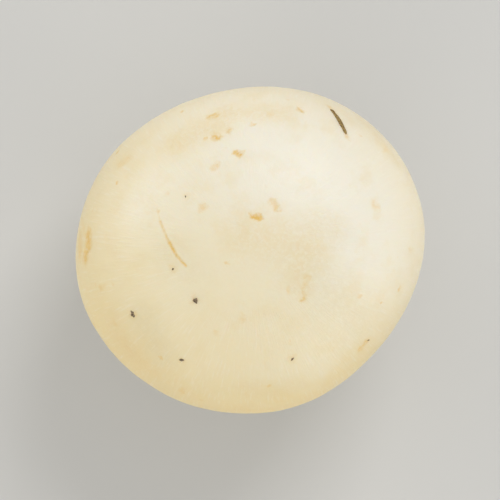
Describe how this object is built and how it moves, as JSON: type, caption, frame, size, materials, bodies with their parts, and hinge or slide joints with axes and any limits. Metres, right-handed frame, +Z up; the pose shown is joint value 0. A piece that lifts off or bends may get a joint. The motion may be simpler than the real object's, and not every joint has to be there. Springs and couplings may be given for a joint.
{
  "type": "button mushroom",
  "caption": "White button mushroom with a closed, rounded cap, a rolled-under margin, a pleated veil and a short thick stem with a flat cut end that it stands on.",
  "frame": {"origin": "on the surface that the mushroom stands on, under the middle of the cap's outline", "axes": "+Z up from the cut end of the stem to the crown of the cap, +X along the long way of the oval cap, the way that points right in the picture, and +Y the way that points up in the picture"},
  "size_m": [0.042, 0.0392, 0.0364],
  "materials": {
    "cap_skin": "satin",
    "veil_skin": "matte",
    "stem_flesh": "matte"
  },
  "bodies": {
    "root": {"cap": "cap_skin", "veil": "veil_skin", "stem": "stem_flesh"}
  },
  "joints": []
}
